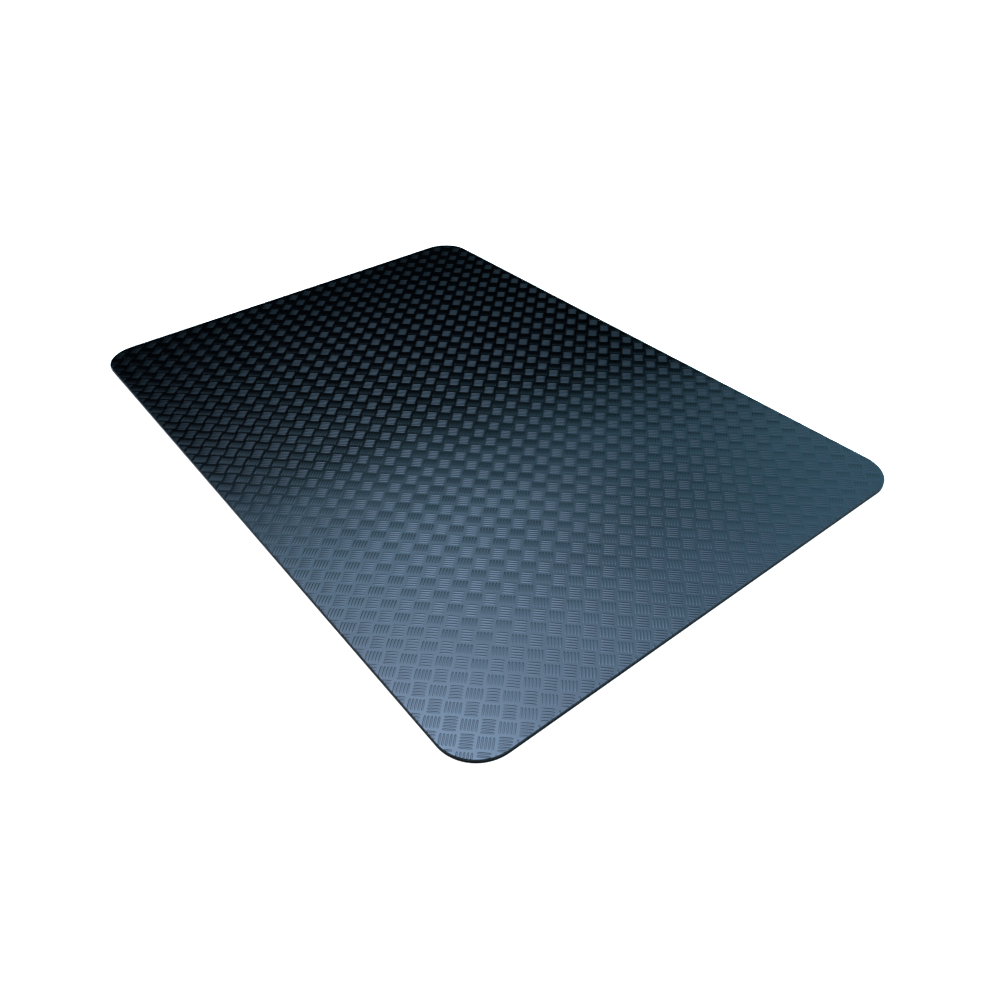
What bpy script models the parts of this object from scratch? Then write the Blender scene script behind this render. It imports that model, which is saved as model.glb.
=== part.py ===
"""Anti fatigue mat: a laminated floor mat with rounded corners.

Three sheets lie on each other: a non-slip sheet on the floor, a foam core and a wear sheet on top.
Metres, +Z up. The origin is the middle of the underside, +X runs along the mat's long side.
"""

import math

import bmesh
import bpy

# Driving dimensions.
LENGTH = 1.000          # along X
WIDTH = 0.700           # along Y
CORNER_RADIUS = 0.050   # of the outline, seen from above
CORNER_SEGMENTS = 24    # flats in each quarter circle of the outline
GRIP_THICKNESS = 0.0007
FOAM_THICKNESS = 0.0026
TREAD_THICKNESS = 0.0021    # from the sheet's underside to the tops of its bars
BOND_GAP = 0.0003           # between two layers, where the film of glue lies
RIM_RADIUS = 0.0008         # rounding of the wear sheet's top rim
RIM_SEGMENTS = 3
SHARP_ANGLE = math.radians(35.0)    # steeper edges than this stay crisp when shaded
SAME_HEIGHT = 1e-6                  # two heights closer than this are the same

# Heights of the layers' undersides.
FOAM_BOTTOM = GRIP_THICKNESS + BOND_GAP
TREAD_BOTTOM = FOAM_BOTTOM + FOAM_THICKNESS + BOND_GAP

# Name, underside, thickness, rim radius, colour, roughness.
LAYERS = (
    ("grip_sheet", 0.0, GRIP_THICKNESS, 0.0, (0.020, 0.021, 0.023), 0.75),
    ("foam_core", FOAM_BOTTOM, FOAM_THICKNESS, 0.0, (0.030, 0.031, 0.033), 0.90),
    ("tread_sheet", TREAD_BOTTOM, TREAD_THICKNESS, RIM_RADIUS, (0.012, 0.014, 0.017), 0.22),
)


def clear_scene():
    """Remove every object that the scene holds."""
    for old in list(bpy.data.objects):
        bpy.data.objects.remove(old, do_unlink=True)


def outline_points():
    """Corner points of the mat's outline, anticlockwise: a quarter circle at each corner."""
    centre_x = LENGTH / 2 - CORNER_RADIUS
    centre_y = WIDTH / 2 - CORNER_RADIUS
    corners = ((1, 1, 0.0), (-1, 1, 0.5), (-1, -1, 1.0), (1, -1, 1.5))
    points = []
    for side_x, side_y, start in corners:
        for step in range(CORNER_SEGMENTS + 1):
            angle = math.pi * (start + 0.5 * step / CORNER_SEGMENTS)
            x = side_x * centre_x + CORNER_RADIUS * math.cos(angle)
            y = side_y * centre_y + CORNER_RADIUS * math.sin(angle)
            points.append((x, y))
    return points


def make_material(name, colour, roughness):
    """A Principled material of one colour."""
    material = bpy.data.materials.new(name)
    material.use_nodes = True
    shader = material.node_tree.nodes["Principled BSDF"]
    shader.inputs["Base Color"].default_value = (*colour, 1.0)
    shader.inputs["Roughness"].default_value = roughness
    shader.inputs["Metallic"].default_value = 0.0
    return material


def round_top_rim(body, height, radius):
    """Bevel the edges that run round the top face."""
    rim = []
    for edge in body.edges:
        on_top = all(abs(vertex.co.z - height) < SAME_HEIGHT for vertex in edge.verts)
        if on_top:
            rim.append(edge)
    bmesh.ops.bevel(body, geom=rim, offset=radius, segments=RIM_SEGMENTS, profile=0.5, affect="EDGES")


def make_layer(name, thickness, rim_radius):
    """One sheet: the outline as a face, extruded upwards, with its top rim rounded."""
    body = bmesh.new()
    corners = [body.verts.new((x, y, 0.0)) for x, y in outline_points()]
    floor_face = body.faces.new(corners)
    extruded = bmesh.ops.extrude_face_region(body, geom=[floor_face])
    top_corners = [item for item in extruded["geom"] if isinstance(item, bmesh.types.BMVert)]
    bmesh.ops.translate(body, verts=top_corners, vec=(0.0, 0.0, thickness))
    bmesh.ops.recalc_face_normals(body, faces=body.faces)
    if rim_radius > 0.0:
        round_top_rim(body, thickness, rim_radius)
    mesh = bpy.data.meshes.new(name)
    body.to_mesh(mesh)
    body.free()
    mesh.shade_smooth()
    mesh.set_sharp_from_angle(angle=SHARP_ANGLE)
    layer = bpy.data.objects.new(name, mesh)
    bpy.context.scene.collection.objects.link(layer)
    return layer


def main():
    clear_scene()
    mat = bpy.data.objects.new("mat", None)
    bpy.context.scene.collection.objects.link(mat)
    for name, bottom, thickness, rim_radius, colour, roughness in LAYERS:
        layer = make_layer(name, thickness, rim_radius)
        layer.data.materials.append(make_material(name, colour, roughness))
        layer.location = (0.0, 0.0, bottom)
        layer.parent = mat


main()
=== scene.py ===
# %% [markdown]
# # An anti fatigue mat
#
# The mat is a laminate that a die cut out of a wide roll: a glossy black vinyl sheet with a
# five-bar tread, a foam core and a thin non-slip sheet under it. The frame holds three plain
# solids, one for each layer. Here every layer gets its surface; the hidden underside gets the one
# that is usual for such mats. The frame says where each layer lies, so all heights are read from
# it.

# %% The frame and its layers
import math

import bpy
import numpy as np
from mathutils import Matrix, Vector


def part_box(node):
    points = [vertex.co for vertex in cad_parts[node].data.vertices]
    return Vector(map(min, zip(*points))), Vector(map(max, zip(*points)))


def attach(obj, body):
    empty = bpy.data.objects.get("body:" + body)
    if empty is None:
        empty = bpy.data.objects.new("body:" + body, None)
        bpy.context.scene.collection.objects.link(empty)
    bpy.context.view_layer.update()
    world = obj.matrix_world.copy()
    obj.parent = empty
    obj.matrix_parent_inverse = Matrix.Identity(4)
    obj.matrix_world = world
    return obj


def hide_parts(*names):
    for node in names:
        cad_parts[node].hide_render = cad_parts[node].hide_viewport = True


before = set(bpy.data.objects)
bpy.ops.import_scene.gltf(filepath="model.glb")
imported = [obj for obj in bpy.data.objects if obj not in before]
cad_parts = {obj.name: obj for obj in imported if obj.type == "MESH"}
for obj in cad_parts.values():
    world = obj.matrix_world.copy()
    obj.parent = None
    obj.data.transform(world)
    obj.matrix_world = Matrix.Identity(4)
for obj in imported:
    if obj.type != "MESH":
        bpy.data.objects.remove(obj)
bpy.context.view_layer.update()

high_x, high_y, BAR_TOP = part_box("tread_sheet")[1]
HALF = np.array([high_x, high_y])      # half the mat's length and width
FOAM_BOTTOM, FOAM_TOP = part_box("foam_core")[0][2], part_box("foam_core")[1][2]
GRIP_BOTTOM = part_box("grip_sheet")[0][2]
MM = 0.001
print("mat", np.round(HALF * 2 / MM, 1), "mm, tops of the bars at", round(BAR_TOP / MM, 2), "mm")

# %% [markdown]
# ## The camera
#
# The camera stands off the mat's near corner and looks down over it with a fairly wide lens, so
# the far corner looks smaller than the near one. A heading, a tilt and a slight roll are easier to
# read than a matrix, and three turns multiplied together make the matrix from them.

# %% Camera
CAMERA_PLACE = (0.8702, -0.5835, 0.6984)
CAMERA_HEADING = 52.78      # degrees, anticlockwise from +Y
CAMERA_TILT = 39.71         # degrees below the horizon
CAMERA_ROLL = -1.80
CAMERA_LENS = 30.68         # mm, on a 36 mm wide sensor

camera_data = bpy.data.cameras.new("camera")
camera_data.lens = CAMERA_LENS
camera_data.sensor_width = 36.0
camera_data.clip_start = 0.01
camera = bpy.data.objects.new("camera", camera_data)
bpy.context.scene.collection.objects.link(camera)
turn = Matrix.Rotation(math.radians(CAMERA_HEADING), 4, "Z")
turn = turn @ Matrix.Rotation(math.radians(90.0 - CAMERA_TILT), 4, "X")
turn = turn @ Matrix.Rotation(math.radians(CAMERA_ROLL), 4, "Z")
camera.matrix_world = Matrix.Translation(CAMERA_PLACE) @ turn
bpy.context.scene.camera = camera
print("camera at", CAMERA_PLACE)

# %% [markdown]
# ## The outline
#
# A rounded rectangle is a smaller rectangle, through the middles of its four corner circles,
# pushed outwards by one radius. That makes every ring round the mat the same formula: a base
# point on the inner rectangle plus the outward direction times the radius, less an inset.
# The same idea gives the distance of any point to the edge.

# %% Outline
CORNER_RADIUS = 50.0 * MM
CORNER_MIDDLE = HALF - CORNER_RADIUS
CORNER_SIGNS = np.array([(1, 1), (-1, 1), (-1, -1), (1, -1)])      # anticlockwise


def perimeter(spacing):
    """Base points and outward directions round the mat, anticlockwise, about spacing apart.

    On a corner the base stays at the circle's middle and the direction turns by a quarter; on a
    side the direction stays and the base moves from one middle to the next.
    """
    arc_count = max(int(CORNER_RADIUS * math.pi / 2 / spacing), 8)
    bases, outwards = [], []
    for k, sign in enumerate(CORNER_SIGNS):
        middle = sign * CORNER_MIDDLE
        angle = math.pi / 2 * (k + np.linspace(0.0, 1.0, arc_count + 1))
        bases.append(np.repeat(middle[None], len(angle), axis=0))
        outwards.append(np.stack([np.cos(angle), np.sin(angle)], axis=1))
        end = CORNER_SIGNS[(k + 1) % 4] * CORNER_MIDDLE
        side_count = max(int(np.linalg.norm(end - middle) / spacing), 1)
        along = np.linspace(0.0, 1.0, side_count + 1)[1:-1, None]
        bases.append(middle + along * (end - middle))
        outwards.append(np.repeat(outwards[-1][-1:], len(along), axis=0))
    return np.concatenate(bases), np.concatenate(outwards)


def inside_depth(points):
    """How far each point lies inside the outline: the corner radius less its distance to the
    inner rectangle, counted negative inside that rectangle."""
    beyond = np.abs(points) - CORNER_MIDDLE
    outer = np.linalg.norm(np.maximum(beyond, 0.0), axis=-1)
    inner = np.minimum(beyond.max(axis=-1), 0.0)
    return CORNER_RADIUS - outer - inner


print("corner radius", CORNER_RADIUS / MM, "mm")

# %% [markdown]
# ## From arrays to a mesh
#
# Every piece below is one array of points and a few arrays of faces. `foreach_set` hands them to
# Blender in one go, which takes a moment even for ten thousand bars.

# %% Mesh helper
SHARP_ANGLE = math.radians(38.0)       # edges that turn by more than this stay crisp


def make_piece(name, points, face_groups, materials, replaced, group_materials=None):
    """A closed mesh from points (n, 3) and face groups, each an array (faces, corners)."""
    corners = np.concatenate([group.ravel() for group in face_groups])
    sizes = np.concatenate([np.full(len(group), group.shape[1]) for group in face_groups])
    starts = np.concatenate([[0], np.cumsum(sizes)[:-1]])
    mesh = bpy.data.meshes.new(name)
    mesh.vertices.add(len(points))
    mesh.vertices.foreach_set("co", np.ascontiguousarray(points, np.float32).ravel())
    mesh.loops.add(len(corners))
    mesh.loops.foreach_set("vertex_index", corners.astype(np.int32))
    mesh.polygons.add(len(sizes))
    mesh.polygons.foreach_set("loop_start", starts.astype(np.int32))
    for material in materials:
        mesh.materials.append(material)
    if group_materials is not None:
        counts = [len(group) for group in face_groups]
        indices = np.repeat(group_materials, counts).astype(np.int32)
        mesh.polygons.foreach_set("material_index", indices)
    mesh.update(calc_edges=True)
    mesh.validate()
    mesh.shade_smooth()
    mesh.set_sharp_from_angle(angle=SHARP_ANGLE)
    piece = bpy.data.objects.new(name, mesh)
    bpy.context.scene.collection.objects.link(piece)
    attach(piece, "root")
    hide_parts(replaced)
    print(name, len(points), "points,", int((sizes - 2).sum()), "triangles")
    return piece


def ring_faces(ring_count, ring_size):
    """Quads between neighbouring rings, numbered ring after ring, facing away from the axis
    when each ring runs anticlockwise and the rings climb."""
    ring = np.arange(ring_count - 1)[:, None] * ring_size
    here = np.arange(ring_size)[None]
    following = (here + 1) % ring_size
    above = ring + ring_size
    quads = np.stack([ring + here, ring + following, above + following, above + here], axis=-1)
    return quads.reshape(-1, 4)


def stack_of_rings(insets, heights, spacing):
    """Points of rings round the mat, one for each inset and height, and how many a ring has."""
    base, outward = perimeter(spacing)
    insets = np.asarray(insets)[:, None, None]
    flat = base[None] + (CORNER_RADIUS - insets) * outward[None]
    level = np.repeat(np.asarray(heights)[:, None, None], len(base), axis=1)
    return np.concatenate([flat, level], axis=2).reshape(-1, 3), len(base)


def lids(ring_count, ring_size):
    """The bottom face and the top face that close a stack of rings."""
    bottom = np.arange(ring_size)[::-1][None]
    top = (ring_count - 1) * ring_size + np.arange(ring_size)[None]
    return bottom, top


print("edges sharper than", round(math.degrees(SHARP_ANGLE)), "degrees stay crisp")

# %% [markdown]
# ## Shared effects
#
# Three effects are node groups with named sockets, so that each finish can use them with its own
# values. *Uneven shine* makes the roughness drift: hands, shoes and the rollers that smoothed the
# sheet leave some places duller. *Grain* is the fine skin of a rolled plastic. *Ripple* is the
# slow waviness of a soft sheet that lies on a floor, which bends what it mirrors.

# %% Node helpers


def new_group(name, inputs, outputs):
    """An empty node group with its sockets, and its input and output nodes."""
    group = bpy.data.node_groups.new(name, "ShaderNodeTree")
    for label, value in inputs.items():
        socket = group.interface.new_socket(label, in_out="INPUT", socket_type="NodeSocketFloat")
        socket.default_value = value
    for label in outputs:
        group.interface.new_socket(label, in_out="OUTPUT", socket_type="NodeSocketFloat")
    print("group", name, "with inputs", list(inputs), "and outputs", list(outputs))
    return group, group.nodes.new("NodeGroupInput"), group.nodes.new("NodeGroupOutput")


def noise(tree, coordinates, scale, detail):
    """A noise texture. Its scale is a socket that gives the number of waves in a metre."""
    node = tree.nodes.new("ShaderNodeTexNoise")
    node.inputs["Detail"].default_value = detail
    tree.links.new(coordinates, node.inputs["Vector"])
    tree.links.new(scale, node.inputs["Scale"])
    return node.outputs["Fac"]


def math_node(tree, operation, *values):
    """A maths node whose inputs are numbers or sockets."""
    node = tree.nodes.new("ShaderNodeMath")
    node.operation = operation
    for socket, value in zip(node.inputs, values):
        if isinstance(value, (int, float)):
            socket.default_value = value
        else:
            tree.links.new(value, socket)
    return node.outputs[0]


def object_coordinates(tree):
    """Coordinates in metres that stay with the piece."""
    return tree.nodes.new("ShaderNodeTexCoord").outputs["Object"]


print("node helpers:", [f.__name__ for f in (new_group, noise, math_node, object_coordinates)])

# %% Uneven shine
shine_group, shine_in, shine_out = new_group(
    "uneven_shine", {"Roughness": 0.3, "Spread": 0.1, "Scale": 12.0}, ("Roughness", "Tone")
)
patches = noise(shine_group, object_coordinates(shine_group), shine_in.outputs["Scale"], 5.0)
centred = math_node(shine_group, "SUBTRACT", patches, 0.5)
drift = math_node(shine_group, "MULTIPLY", centred, shine_in.outputs["Spread"])
rough = math_node(shine_group, "ADD", shine_in.outputs["Roughness"], drift)
shine_group.links.new(rough, shine_out.inputs["Roughness"])
shine_group.links.new(patches, shine_out.inputs["Tone"])

# %% Grain
grain_group, grain_in, grain_out = new_group("grain", {"Scale": 1500.0}, ("Height",))
pebbles = noise(grain_group, object_coordinates(grain_group), grain_in.outputs["Scale"], 2.0)
grain_group.links.new(pebbles, grain_out.inputs["Height"])

# %% Ripple
ripple_group, ripple_in, ripple_out = new_group("ripple", {"Scale": 7.0}, ("Height",))
waves = noise(ripple_group, object_coordinates(ripple_group), ripple_in.outputs["Scale"], 1.0)
ripple_group.links.new(waves, ripple_out.inputs["Height"])

# %% [markdown]
# ## Finishes
#
# Every finish of the mat is a Principled shader. Its base colour comes from a ramp between two
# dark tones, its roughness from *uneven shine*, and its normal from one or two bump nodes.

# %% Finish helpers


def new_finish(name):
    """A material with a Principled shader, its node tree and that shader."""
    material = bpy.data.materials.new(name)
    material.use_nodes = True
    print("finish", name)
    return material, material.node_tree, material.node_tree.nodes["Principled BSDF"]


def use_group(tree, group, **values):
    """The group placed in a material, with its own values."""
    node = tree.nodes.new("ShaderNodeGroup")
    node.node_tree = group
    for label, value in values.items():
        node.inputs[label].default_value = value
    return node


def two_tones(tree, factor, dark, light, start=0.3, end=0.7):
    """A colour ramp from dark to light over the given part of the factor."""
    ramp = tree.nodes.new("ShaderNodeValToRGB")
    ramp.color_ramp.elements[0].position = start
    ramp.color_ramp.elements[1].position = end
    ramp.color_ramp.elements[0].color = (*dark, 1.0)
    ramp.color_ramp.elements[1].color = (*light, 1.0)
    tree.links.new(factor, ramp.inputs["Fac"])
    return ramp.outputs["Color"]


def bump(tree, height, distance, normal=None):
    """A bump node: the height times the distance, in metres, on top of another normal."""
    node = tree.nodes.new("ShaderNodeBump")
    node.inputs["Distance"].default_value = distance
    tree.links.new(height, node.inputs["Height"])
    if normal is not None:
        tree.links.new(normal, node.inputs["Normal"])
    return node.outputs["Normal"]


def connect(tree, shader, colour, roughness, normal):
    """The three sockets that every finish feeds."""
    tree.links.new(colour, shader.inputs["Base Color"])
    tree.links.new(roughness, shader.inputs["Roughness"])
    tree.links.new(normal, shader.inputs["Normal"])


print("finish helpers:", [f.__name__ for f in (new_finish, use_group, two_tones, bump, connect)])

# %% [markdown]
# ### The glossy vinyl
#
# The vinyl is black all through and glossy. What one sees of it is the light that it mirrors, so
# its own colour is nearly black, and its look is in the roughness and in the normal. A specular
# tint adds to the bluish cast of its reflections. A slow ripple of about a millimetre at most
# bends what the sheet mirrors, and a grain of at most three thousandths of a millimetre breaks up
# the shine.

# %% Glossy vinyl
vinyl, tree, shader = new_finish("glossy_vinyl")
shine = use_group(tree, shine_group, Roughness=0.13, Spread=0.05, Scale=14.0)
grain = use_group(tree, grain_group, Scale=1400.0)
ripple = use_group(tree, ripple_group, Scale=7.0)
wavy = bump(tree, ripple.outputs["Height"], 0.0012)
grained = bump(tree, grain.outputs["Height"], 0.000003, wavy)
colour = two_tones(tree, shine.outputs["Tone"], (0.0002, 0.0003, 0.0004), (0.0005, 0.0006, 0.0008))
connect(tree, shader, colour, shine.outputs["Roughness"], grained)
shader.inputs["IOR"].default_value = 1.52
shader.inputs["Specular Tint"].default_value = (0.64, 0.77, 1.0, 1.0)

# %% [markdown]
# ### The cut edge, the foam and the non-slip sheet
#
# A die leaves the vinyl's edge torn on a small scale, so it is rough and hardly shines. The cut
# foam shows its cells, which are a Voronoi pattern: about half a millimetre wide, darker in their
# middles. The non-slip sheet is matt and a shade lighter than the vinyl.

# %% Cut edge of the vinyl
cut_vinyl, tree, shader = new_finish("cut_vinyl")
shine = use_group(tree, shine_group, Roughness=0.6, Spread=0.2, Scale=120.0)
grain = use_group(tree, grain_group, Scale=2200.0)
colour = two_tones(tree, shine.outputs["Tone"], (0.002, 0.0024, 0.003), (0.005, 0.0056, 0.0065))
rough_cut = bump(tree, grain.outputs["Height"], 0.00006)
connect(tree, shader, colour, shine.outputs["Roughness"], rough_cut)
shader.inputs["Specular IOR Level"].default_value = 0.2

# %% Foam
foam_finish, tree, shader = new_finish("foam")
cells = tree.nodes.new("ShaderNodeTexVoronoi")
cells.inputs["Scale"].default_value = 1900.0
tree.links.new(object_coordinates(tree), cells.inputs["Vector"])
shine = use_group(tree, shine_group, Roughness=0.88, Spread=0.15, Scale=200.0)
from_middle = cells.outputs["Distance"]
colour = two_tones(tree, from_middle, (0.0016, 0.0017, 0.0019), (0.008, 0.0083, 0.0088), 0.1, 0.6)
cell_walls = bump(tree, from_middle, 0.0002)
connect(tree, shader, colour, shine.outputs["Roughness"], cell_walls)
shader.inputs["Specular IOR Level"].default_value = 0.15

# %% Non-slip sheet
grip_finish, tree, shader = new_finish("non_slip_vinyl")
shine = use_group(tree, shine_group, Roughness=0.72, Spread=0.16, Scale=30.0)
grain = use_group(tree, grain_group, Scale=900.0)
colour = two_tones(tree, shine.outputs["Tone"], (0.006, 0.0065, 0.0075), (0.012, 0.0128, 0.014))
leathery = bump(tree, grain.outputs["Height"], 0.0001)
connect(tree, shader, colour, shine.outputs["Roughness"], leathery)
shader.inputs["Specular IOR Level"].default_value = 0.3

# %% [markdown]
# ## The vinyl sheet
#
# Between its bars the sheet is flat, with a small rounding where the die pressed its top rim
# down. It is a stack of rings from the underside up the cut edge, over the rounding and on to the
# flat. The last ring lies on the flat a little way in, so that the shading of the rim can't reach
# the middle.

# %% Vinyl sheet
BAR_RISE = 0.32 * MM                # height of the bars above the sheet
LAND = BAR_TOP - BAR_RISE           # height of the sheet between the bars
RIM = 0.8 * MM                      # radius of the rounded rim
RIM_STEPS = 6
FLAT_MARGIN = 2.0 * MM
GLUE_CLEARANCE = 0.05 * MM          # what is left of the glue's gap
SHEET_SPACING = 3.0 * MM            # between the points of a ring

lean = np.linspace(0.0, math.pi / 2, RIM_STEPS + 1)
insets = np.concatenate([[0.0, 0.0], RIM * (1.0 - np.cos(lean[1:])), [RIM + FLAT_MARGIN]])
heights = np.concatenate([
    [FOAM_TOP + GLUE_CLEARANCE, LAND - RIM],
    LAND - RIM + RIM * np.sin(lean[1:]),
    [LAND],
])
points, ring_size = stack_of_rings(insets, heights, SHEET_SPACING)
bottom, top = lids(len(insets), ring_size)
walls = ring_faces(len(insets), ring_size)
cut_count = 2 * ring_size
vinyl_sheet = make_piece(
    "vinyl_sheet",
    points,
    [bottom, walls[:cut_count], walls[cut_count:], top],
    [vinyl, cut_vinyl],
    "tread_sheet",
    [1, 1, 0, 0],
)

# %% [markdown]
# ## The tread
#
# The tread is a chequerboard of squares that stands on its corner. Each square holds five
# parallel bars, and the bars of neighbouring squares lie across each other. Squares with bars
# of one direction repeat at an even pitch along both sides of the mat, and those of the other
# direction lie in the middle between four of them. The roll was wider than the mat, so the
# pattern starts anywhere and the die cuts straight through it.

# %% Tread layout
PITCH = 26.39 * MM
FIRST_SQUARE = np.array([-483.2, -326.2]) * MM      # middle of a square whose bars rise
BARS_IN_SQUARE = 5
BAR_SPACING = 3.62 * MM
BAR_LENGTH = 14.2 * MM
BAR_WIDTH = 2.8 * MM
RISING = np.array([1.0, 1.0]) / math.sqrt(2.0)
FALLING = np.array([1.0, -1.0]) / math.sqrt(2.0)


def left_of(direction):
    """The direction turned a quarter anticlockwise."""
    return np.array([-direction[1], direction[0]])


def bar_middles(first, direction):
    """Middles of all bars of one direction: a square lattice of squares, five bars in each."""
    counts = (2 * HALF / PITCH).astype(int)
    columns = first[0] + PITCH * np.arange(-1, counts[0] + 2)
    rows = first[1] + PITCH * np.arange(-1, counts[1] + 2)
    squares = np.stack(np.meshgrid(columns, rows, indexing="ij"), axis=-1).reshape(-1, 2)
    steps = (np.arange(BARS_IN_SQUARE) - (BARS_IN_SQUARE - 1) / 2) * BAR_SPACING
    return (squares[:, None] + steps[None, :, None] * left_of(direction)).reshape(-1, 2)


rising_middles = bar_middles(FIRST_SQUARE, RISING)
falling_middles = bar_middles(FIRST_SQUARE + PITCH / 2, FALLING)
print("bars laid out:", len(rising_middles) + len(falling_middles))

# %% [markdown]
# ### Where the die cuts a bar
#
# A bar may reach past the edge. A rounded rectangle is two crossed boxes and four discs laid
# together, and a line is easy to clip by a box or by a disc. The stretch of the line that lies
# inside the mat runs from the first entry to the last exit among the six.

# %% Clipping
CUT_INSET = 0.3 * MM        # the cut ends of the bars lie this far inside the outline


def clip_by_box(start, direction, half):
    """First and last distance along the line inside a box about the origin."""
    one = (-half - start) / direction
    other = (half - start) / direction
    enter = np.minimum(one, other).max(axis=-1)
    leave = np.maximum(one, other).min(axis=-1)
    return enter, leave


def clip_by_disc(start, direction, middle, radius):
    """First and last distance along the line inside a disc."""
    offset = start - middle
    along = -(offset @ direction)
    room = along ** 2 - (offset ** 2).sum(axis=-1) + radius ** 2
    reach = np.sqrt(np.maximum(room, 0.0))
    missed = room <= 0.0
    return np.where(missed, np.inf, along - reach), np.where(missed, -np.inf, along + reach)


def clip_by_mat(start, direction):
    """First and last distance along the line inside the mat."""
    radius = CORNER_RADIUS - CUT_INSET
    tall = CORNER_MIDDLE + (0.0, radius)
    wide = CORNER_MIDDLE + (radius, 0.0)
    stretches = [clip_by_box(start, direction, half) for half in (tall, wide)]
    for sign in CORNER_SIGNS:
        stretches.append(clip_by_disc(start, direction, sign * CORNER_MIDDLE, radius))
    enter = np.array([stretch[0] for stretch in stretches])
    leave = np.array([stretch[1] for stretch in stretches])
    missed = enter >= leave
    enter = np.where(missed, np.inf, enter)
    leave = np.where(missed, -np.inf, leave)
    return enter.min(axis=0), leave.max(axis=0)


centre_line = clip_by_mat(np.zeros(2), RISING)
print("the diagonal through the centre is inside from", np.round(centre_line, 3), "m")

# %% [markdown]
# ### The bars
#
# A bar seen from above has nearly parallel sides and rounded ends, and in section it is a low
# arch. Along its length, t from -1 to 1, width and height keep nearly their full size and then
# close quickly. All bars of one direction are worked out at once, as a grid of rows along each
# bar and columns across it. The rows crowd at the ends, where the shape turns most.

# %% Bars
ROW_PARTS = np.array([0.0, 0.05, 0.15, 0.5, 0.85, 0.95, 1.0])    # from one end to the other
ROWS = len(ROW_PARTS)
COLUMNS = 5
TIP = 0.97                  # the bars end just short of where their width would be nothing
SUNK = 0.05 * MM            # how far a bar's foot reaches into the sheet
SHORTEST = 0.4 * MM         # a bar with a column shorter than this after the cut is left out
CUT_ROUNDS = 4              # the cut moves a column's end, which moves the cut a little again


def bar_shape(t):
    """Half width and crest height above the foot, at t from -1 to 1 along a bar.

    Both go as the square root of one less the sixth power of t.
    """
    body = np.sqrt(np.maximum(1.0 - t ** 6, 0.0))
    return BAR_WIDTH / 2 * body, (BAR_RISE + SUNK) * body


def land_height(points):
    """Height of the sheet: flat, and a quarter circle down over the rounded rim."""
    over = np.clip(RIM - inside_depth(points), 0.0, RIM)
    return LAND - RIM + np.sqrt(RIM ** 2 - over ** 2)


def bar_grid(middles, direction):
    """Points (bars, rows, columns, 3) of all bars that the die left on the mat.

    Column s, from -1 to 1, runs beside the middle line at s times the half width. Its height
    over the foot is the crest's times a half of one plus the cosine of pi s, a wave that is level
    at the crest and at both feet.
    """
    s = np.linspace(-1.0, 1.0, COLUMNS)
    across = left_of(direction)
    half = BAR_LENGTH / 2
    first = np.full((len(middles), COLUMNS), -TIP * half)
    last = -first
    for _ in range(CUT_ROUNDS):
        begin = middles[:, None] + (s * bar_shape(first / half)[0])[..., None] * across
        finish = middles[:, None] + (s * bar_shape(last / half)[0])[..., None] * across
        first = np.clip(clip_by_mat(begin, direction)[0], -TIP * half, TIP * half)
        last = np.clip(clip_by_mat(finish, direction)[1], -TIP * half, TIP * half)
    kept = (last - first).min(axis=1) > SHORTEST
    middles, first, last = middles[kept], first[kept], last[kept]
    part = ROW_PARTS[None, :, None]
    along = first[:, None] + part * (last - first)[:, None]
    half_width, crest = bar_shape(along / half)
    beside = (s * half_width)[..., None] * across
    flat = middles[:, None, None] + along[..., None] * direction + beside
    height = land_height(flat) - SUNK + crest * (1.0 + np.cos(math.pi * s)) / 2
    return np.concatenate([flat, height[..., None]], axis=-1)


def bar_faces(bar_count):
    """Faces of all bars: the arch, the flat foot and the two ends."""
    number = np.arange(ROWS * COLUMNS).reshape(ROWS, COLUMNS)
    arch = np.stack([number[:-1, :-1], number[1:, :-1], number[1:, 1:], number[:-1, 1:]], axis=-1)
    foot = np.stack([number[:-1, 0], number[:-1, -1], number[1:, -1], number[1:, 0]], axis=-1)
    quads = np.concatenate([arch.reshape(-1, 4), foot])
    ends = np.stack([number[0], number[-1][::-1]])
    shift = (np.arange(bar_count) * ROWS * COLUMNS)[:, None, None]
    return (quads[None] + shift).reshape(-1, 4), (ends[None] + shift).reshape(-1, COLUMNS)


def make_bars(name, grid):
    """One piece of many bars."""
    quads, ends = bar_faces(len(grid))
    return make_piece(name, grid.reshape(-1, 3), [quads, ends], [vinyl], "tread_sheet")


for direction_name, middles, direction in (
    ("rising", rising_middles, RISING),
    ("falling", falling_middles, FALLING),
):
    grid = bar_grid(middles, direction)
    on_left = grid[:, :, :, 0].mean(axis=(1, 2)) < 0.0
    make_bars("bars_" + direction_name + "_left", grid[on_left])
    make_bars("bars_" + direction_name + "_right", grid[~on_left])
    print(direction_name, "bars on the mat:", len(grid))

# %% [markdown]
# ## The foam core
#
# Foam gives way under the die and springs back, so its cut edge is slightly hollow between the
# two sheets and wanders a little. The rings follow that hollow, and a few sines of the place
# round the mat make it wander without any random numbers.

# %% Foam core
HOLLOW = 0.35 * MM
FOAM_INSET = 0.1 * MM       # the foam's own rims lie this far inside the outline
WANDER = 0.04 * MM          # times up to 1.6, the size of the sum of sines
FOAM_RINGS = 9
FOAM_SPACING = 2.5 * MM

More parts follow.
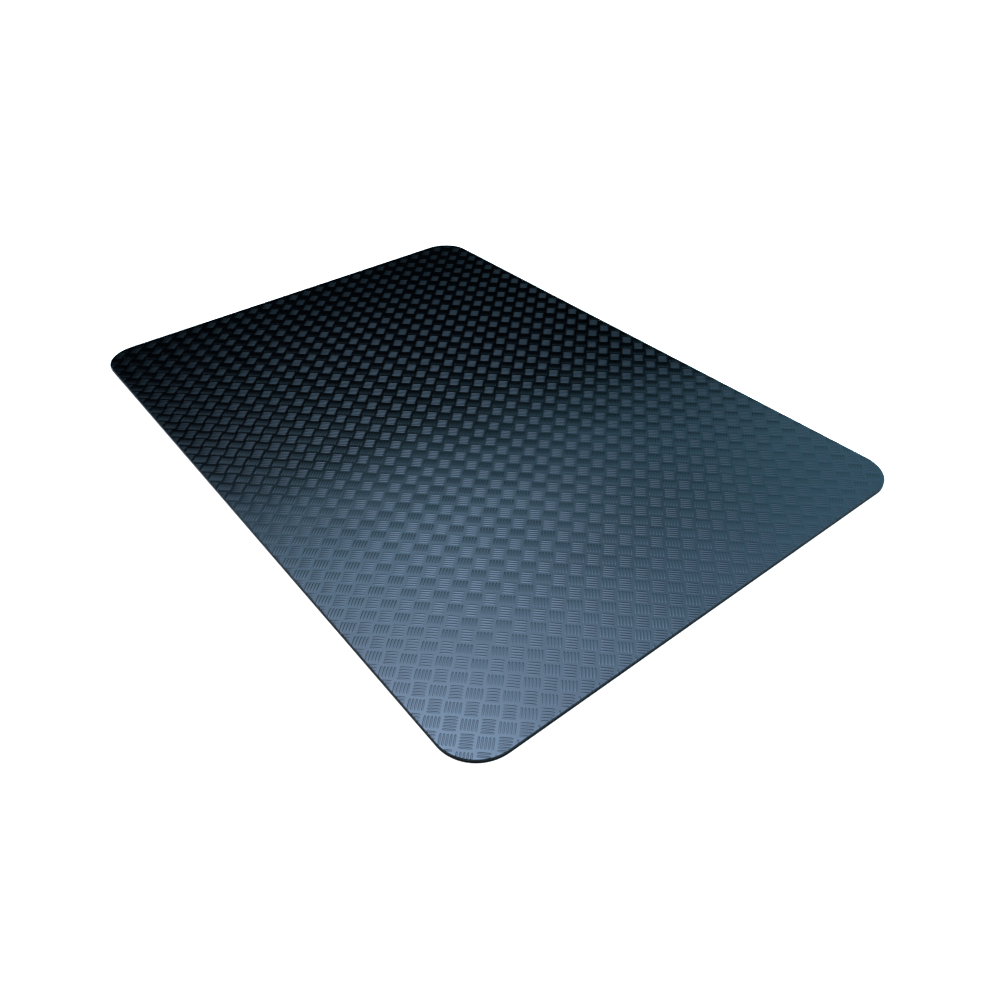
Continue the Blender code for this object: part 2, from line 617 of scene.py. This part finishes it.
rise = np.linspace(0.0, 1.0, FOAM_RINGS)
insets = FOAM_INSET + HOLLOW * np.sin(math.pi * rise) ** 0.7
heights = FOAM_BOTTOM + rise * (FOAM_TOP - FOAM_BOTTOM)
points, ring_size = stack_of_rings(insets, heights, FOAM_SPACING)
outward = perimeter(FOAM_SPACING)[1]
place = np.arange(ring_size) / ring_size * 2 * math.pi
wander = np.sin(61 * place) * np.sin(37 * place + 1.0) + 0.6 * np.sin(149 * place + 2.0)
push = (WANDER * np.sin(math.pi * rise)[:, None] * wander[None]).reshape(-1, 1)
points[:, :2] += push * np.tile(outward, (FOAM_RINGS, 1))
bottom, top = lids(FOAM_RINGS, ring_size)
foam_cushion = make_piece(
    "foam_cushion",
    points,
    [bottom, ring_faces(FOAM_RINGS, ring_size), top],
    [foam_finish],
    "foam_core",
)

# %% [markdown]
# ## The non-slip sheet
#
# The sheet under the foam is thin and matt. Fine ribs run along its underside, and only they
# touch the floor. The sheet is a stack of rings once more, and the ribs are long low arches.

# %% Non-slip sheet
RIB_DEPTH = 0.2 * MM
RIB_SUNK = 0.05 * MM        # how far a rib's foot reaches into the sheet
RIB_PITCH = 4.0 * MM
RIB_WIDTH = 2.0 * MM
RIB_MARGIN = 3.0 * MM       # the ribs end this far inside the outline
GRIP_RIM = 0.15 * MM
SHEET_BOTTOM = GRIP_BOTTOM + RIB_DEPTH

insets = [GRIP_RIM, 0.0, 0.0]
heights = [SHEET_BOTTOM, SHEET_BOTTOM + GRIP_RIM, FOAM_BOTTOM - GLUE_CLEARANCE]
points, ring_size = stack_of_rings(insets, heights, SHEET_SPACING)
bottom, top = lids(len(insets), ring_size)
grip_layer = make_piece(
    "grip_layer",
    points,
    [bottom, ring_faces(len(insets), ring_size), top],
    [grip_finish],
    "grip_sheet",
)

# %% [markdown]
# ### The ribs
#
# A rib is a parabola in section: its depth goes as one less the square of s, where s runs from -1
# to 1 across it. It ends on the outline, less a margin, so the ribs near the two long sides are
# shorter. The bars' face table serves once more, with its corners turned round, because the ribs
# hang down.

# %% Ribs
rib_count = int(2 * (HALF[1] - 2 * RIB_MARGIN) / RIB_PITCH)
rib_y = (np.arange(rib_count) - (rib_count - 1) / 2) * RIB_PITCH
s = np.linspace(-1.0, 1.0, COLUMNS)
y = rib_y[:, None] + s * RIB_WIDTH / 2
beyond = np.maximum(np.abs(y) - CORNER_MIDDLE[1], 0.0)
reach = CORNER_MIDDLE[0] + np.sqrt((CORNER_RADIUS - RIB_MARGIN) ** 2 - beyond ** 2)
x = reach[:, None] * np.linspace(-1.0, 1.0, ROWS)[None, :, None]
y = np.repeat(y[:, None], ROWS, axis=1)
hanging = (RIB_DEPTH + RIB_SUNK) * (1.0 - s ** 2)
z = np.broadcast_to(SHEET_BOTTOM + RIB_SUNK - hanging, x.shape)
quads, ends = bar_faces(rib_count)
grip_ribs = make_piece(
    "grip_ribs",
    np.stack([x, y, z], axis=-1).reshape(-1, 3),
    [quads[:, ::-1], ends[:, ::-1]],
    [grip_finish],
    "grip_sheet",
)
print("ribs:", rib_count)

# %% [markdown]
# ## The floor
#
# The floor is a plain pale sheet, just below the ribs. To the camera it glows, so it looks white
# all over. For all other rays its own glow is much weaker, so that it doesn't light the dark cut
# edge like a lamp.

# %% Floor
FLOOR_SIZE = 30.0
FLOOR_GAP = 0.3 * MM         # how far the floor lies below the ribs
FLOOR_GLOW = 0.15            # strength of its own glow for the mat; for the camera it is 1
floor_mesh = bpy.data.meshes.new("floor")
edge = FLOOR_SIZE / 2
level = GRIP_BOTTOM - FLOOR_GAP
floor_corners = [(-edge, -edge, level), (edge, -edge, level), (edge, edge, level), (-edge, edge, level)]
floor_mesh.from_pydata(floor_corners, [], [(0, 1, 2, 3)])
floor_finish, tree, shader = new_finish("pale_floor")
shader.inputs["Base Color"].default_value = (0.80, 0.80, 0.80, 1.0)
shader.inputs["Roughness"].default_value = 0.9
shader.inputs["Specular IOR Level"].default_value = 0.1
shader.inputs["Emission Color"].default_value = (1.0, 1.0, 1.0, 1.0)
seen = tree.nodes.new("ShaderNodeLightPath").outputs["Is Camera Ray"]
strength = math_node(tree, "MULTIPLY_ADD", seen, 1.0 - FLOOR_GLOW, FLOOR_GLOW)
tree.links.new(strength, shader.inputs["Emission Strength"])
floor_mesh.materials.append(floor_finish)
floor = bpy.data.objects.new("floor", floor_mesh)
bpy.context.scene.collection.objects.link(floor)
print("floor at", round(level / MM, 2), "mm,", FLOOR_SIZE, "m wide")

# %% [markdown]
# ## The light
#
# A glossy black sheet shows only what it mirrors, so the light is laid out by its mirror image:
# one large diffuser overhead, whose brightness changes from place to place. It is brightest where
# a lamp stands behind it and falls away with the distance from there. On its -X side it ends in
# a soft edge, and the flat parts of the sheet that mirror places past that edge turn dark. A
# second soft edge ends it on its -Y side, and a patch near the first edge is dimmer. The colour
# turns from a bluish white near the lamp to a sky blue far from it.
#
# Each part of the pattern is a short formula of X and Y, and the brightness is their product. The
# three helpers in the second cell add their nodes to the diffuser's own material.

# %% Layout of the light
LIGHT_HEIGHT = 1.2
LIGHT_SPAN = ((-2.3, 1.9), (-2.0, 3.6))     # from and to along X, and along Y
HOT_SPOT = (-0.12, -0.19)                   # the lamp stands behind this point of the diffuser
LIGHT_POWER = 3.9
LIGHT_FALL = -1.07                          # the brightness goes as this power of the distance
SOFTENING = 0.083                           # added to the squared distance, in square metres
EDGE_POINT = (-1.08, 1.2)                   # the diffuser's soft edge passes through this point
EDGE_TURN = math.radians(-15.0)             # direction in which the brightness rises across it
EDGE_REACH = 0.38                           # the brightness fades over twice this width
NEAR_EDGE = (-0.85, 0.15)                   # along Y the brightness rises between these places
DIM_SPOT = (-0.63, 1.29)                    # middle of a dimmer patch in the diffuser
DIM_SIZE = (0.30, 0.42)                     # how wide it is along X and along Y
DIM_SHARE = 0.55                            # how much of the light is missing in its middle
NEAR_COLOUR = (0.70, 0.87, 1.0, 1.0)
FAR_COLOUR = (0.36, 0.79, 1.0, 1.0)
NEAR_REACH, FAR_REACH = 0.5, 1.8            # the colour turns between these distances
RAMP_LENGTH = 3.0                           # the distance that the whole colour ramp stands for

light_mesh = bpy.data.meshes.new("diffuser")
corners = [(0, 0), (0, 1), (1, 1), (1, 0)]
light_corners = [(LIGHT_SPAN[0][i], LIGHT_SPAN[1][j], LIGHT_HEIGHT) for i, j in corners]
light_mesh.from_pydata(light_corners, [], [(0, 1, 2, 3)])
glow = bpy.data.materials.new("glow")
glow.use_nodes = True
tree = glow.node_tree
tree.nodes.clear()
emission = tree.nodes.new("ShaderNodeEmission")
out = tree.nodes.new("ShaderNodeOutputMaterial")
tree.links.new(emission.outputs["Emission"], out.inputs["Surface"])
split = tree.nodes.new("ShaderNodeSeparateXYZ")
tree.links.new(object_coordinates(tree), split.inputs[0])
x, y = split.outputs["X"], split.outputs["Y"]
print("diffuser from", LIGHT_SPAN[0][0], "to", LIGHT_SPAN[0][1], "m along X, at", LIGHT_HEIGHT, "m")

# %% Brightness


def scaled_offset(value, middle, scale):
    """A coordinate less a middle, times a scale."""
    return math_node(tree, "MULTIPLY", math_node(tree, "SUBTRACT", value, middle), scale)


def squared_sum(first, second):
    """The sum of two squares."""
    first_square = math_node(tree, "POWER", first, 2.0)
    return math_node(tree, "ADD", first_square, math_node(tree, "POWER", second, 2.0))


def soft_step(value, low, high):
    """A smooth rise from 0 at low to 1 at high."""
    step = tree.nodes.new("ShaderNodeMapRange")
    step.interpolation_type = "SMOOTHSTEP"
    step.inputs["From Min"].default_value = low
    step.inputs["From Max"].default_value = high
    tree.links.new(value, step.inputs["Value"])
    return step.outputs["Result"]


squares = squared_sum(scaled_offset(x, HOT_SPOT[0], 1.0), scaled_offset(y, HOT_SPOT[1], 1.0))
falling = math_node(tree, "POWER", math_node(tree, "ADD", squares, SOFTENING), LIGHT_FALL / 2)
across_x = scaled_offset(x, EDGE_POINT[0], math.cos(EDGE_TURN))
across_y = scaled_offset(y, EDGE_POINT[1], math.sin(EDGE_TURN))
fade = soft_step(math_node(tree, "ADD", across_x, across_y), -EDGE_REACH, EDGE_REACH)
edges = math_node(tree, "MULTIPLY", fade, soft_step(y, *NEAR_EDGE))
dim_x = scaled_offset(x, DIM_SPOT[0], 1.0 / DIM_SIZE[0])
dim_y = scaled_offset(y, DIM_SPOT[1], 1.0 / DIM_SIZE[1])
bell = math_node(tree, "POWER", math.exp(-0.5), squared_sum(dim_x, dim_y))
dimming = math_node(tree, "SUBTRACT", 1.0, math_node(tree, "MULTIPLY", bell, DIM_SHARE))
lit = math_node(tree, "MULTIPLY", falling, math_node(tree, "MULTIPLY", edges, dimming))
tree.links.new(math_node(tree, "MULTIPLY", lit, LIGHT_POWER), emission.inputs["Strength"])
print("nodes in the light's material:", len(tree.nodes))

# %% Colour of the light
ramp = tree.nodes.new("ShaderNodeValToRGB")
ramp.color_ramp.elements[0].color = NEAR_COLOUR
ramp.color_ramp.elements[1].color = FAR_COLOUR
ramp.color_ramp.elements[0].position = NEAR_REACH / RAMP_LENGTH
ramp.color_ramp.elements[1].position = FAR_REACH / RAMP_LENGTH
distance = math_node(tree, "SQRT", squares)
tree.links.new(math_node(tree, "DIVIDE", distance, RAMP_LENGTH), ramp.inputs["Fac"])
tree.links.new(ramp.outputs["Color"], emission.inputs["Color"])
light_mesh.materials.append(glow)
diffuser = bpy.data.objects.new("diffuser", light_mesh)
bpy.context.scene.collection.objects.link(diffuser)
diffuser.visible_camera = False
print("the colour turns between", NEAR_REACH, "and", FAR_REACH, "m from the hot spot")

# %% [markdown]
# ## The surroundings
#
# Past the floor's rim the camera looks into white, like the floor. The mat mirrors a nearly black
# room instead, because a white one would turn it grey. Two backgrounds are mixed, one for the
# camera's rays and one for all the others.

# %% World
world = bpy.data.worlds.new("studio")
bpy.context.scene.world = world
world.use_nodes = True
tree = world.node_tree
tree.nodes.clear()
dark_room = tree.nodes.new("ShaderNodeBackground")
dark_room.inputs["Color"].default_value = (0.002, 0.003, 0.005, 1.0)
white_wall = tree.nodes.new("ShaderNodeBackground")
white_wall.inputs["Color"].default_value = (1.0, 1.0, 1.0, 1.0)
seen = tree.nodes.new("ShaderNodeLightPath")
either = tree.nodes.new("ShaderNodeMixShader")
out = tree.nodes.new("ShaderNodeOutputWorld")
tree.links.new(seen.outputs["Is Camera Ray"], either.inputs[0])
tree.links.new(dark_room.outputs[0], either.inputs[1])
tree.links.new(white_wall.outputs[0], either.inputs[2])
tree.links.new(either.outputs[0], out.inputs["Surface"])
bpy.context.scene.view_settings.view_transform = "Standard"
print("world: white where the camera looks past the floor, dark where the mat mirrors it")
